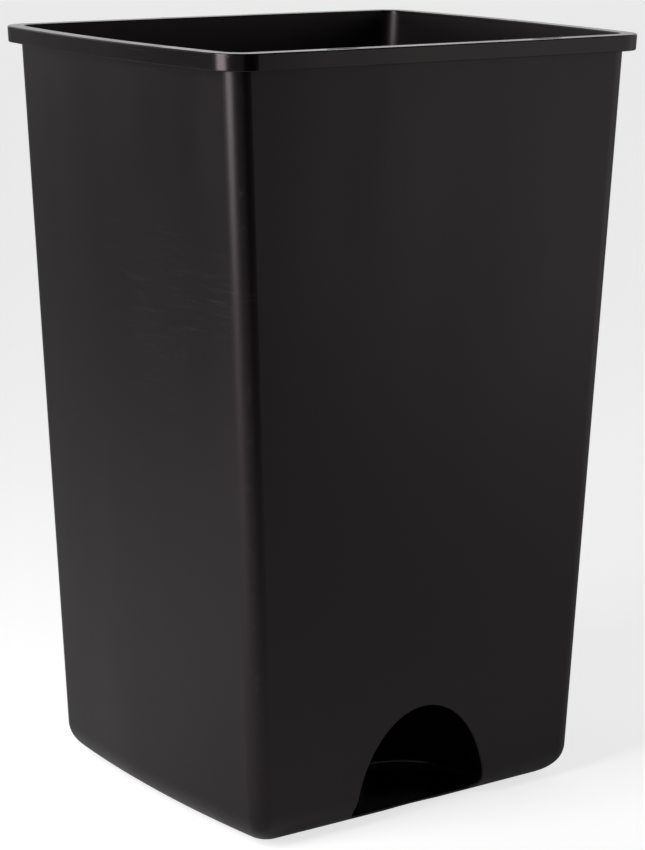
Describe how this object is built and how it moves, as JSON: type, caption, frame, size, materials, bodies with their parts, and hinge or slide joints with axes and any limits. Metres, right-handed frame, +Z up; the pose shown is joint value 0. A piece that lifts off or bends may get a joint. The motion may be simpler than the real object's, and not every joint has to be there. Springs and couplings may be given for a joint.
{
  "type": "rectangular floor bucket",
  "caption": "Tall tapered rectangular open tub with bowed sides, a turned-down slotted rim and an arched foot pocket low in the front wall.",
  "frame": {"origin": "middle of the underside, on the floor", "axes": "+Z up through the open mouth, -Y out through the arched foot pocket, +X along the pocket side"},
  "size_m": [0.41, 0.3324, 0.6],
  "materials": {
    "tub_plastic": "satin moulded polypropylene, black",
    "rim_plastic": "satin moulded polypropylene, black, a little smoother on the ledge",
    "pocket_plastic": "smooth moulded polypropylene, black, glossier than the walls"
  },
  "bodies": {
    "root": {"base_tray": "tub_plastic", "wall_shell": "tub_plastic", "foot_pocket": "pocket_plastic", "rim_ledge": "rim_plastic", "rim_skirt": "rim_plastic"}
  },
  "joints": []
}
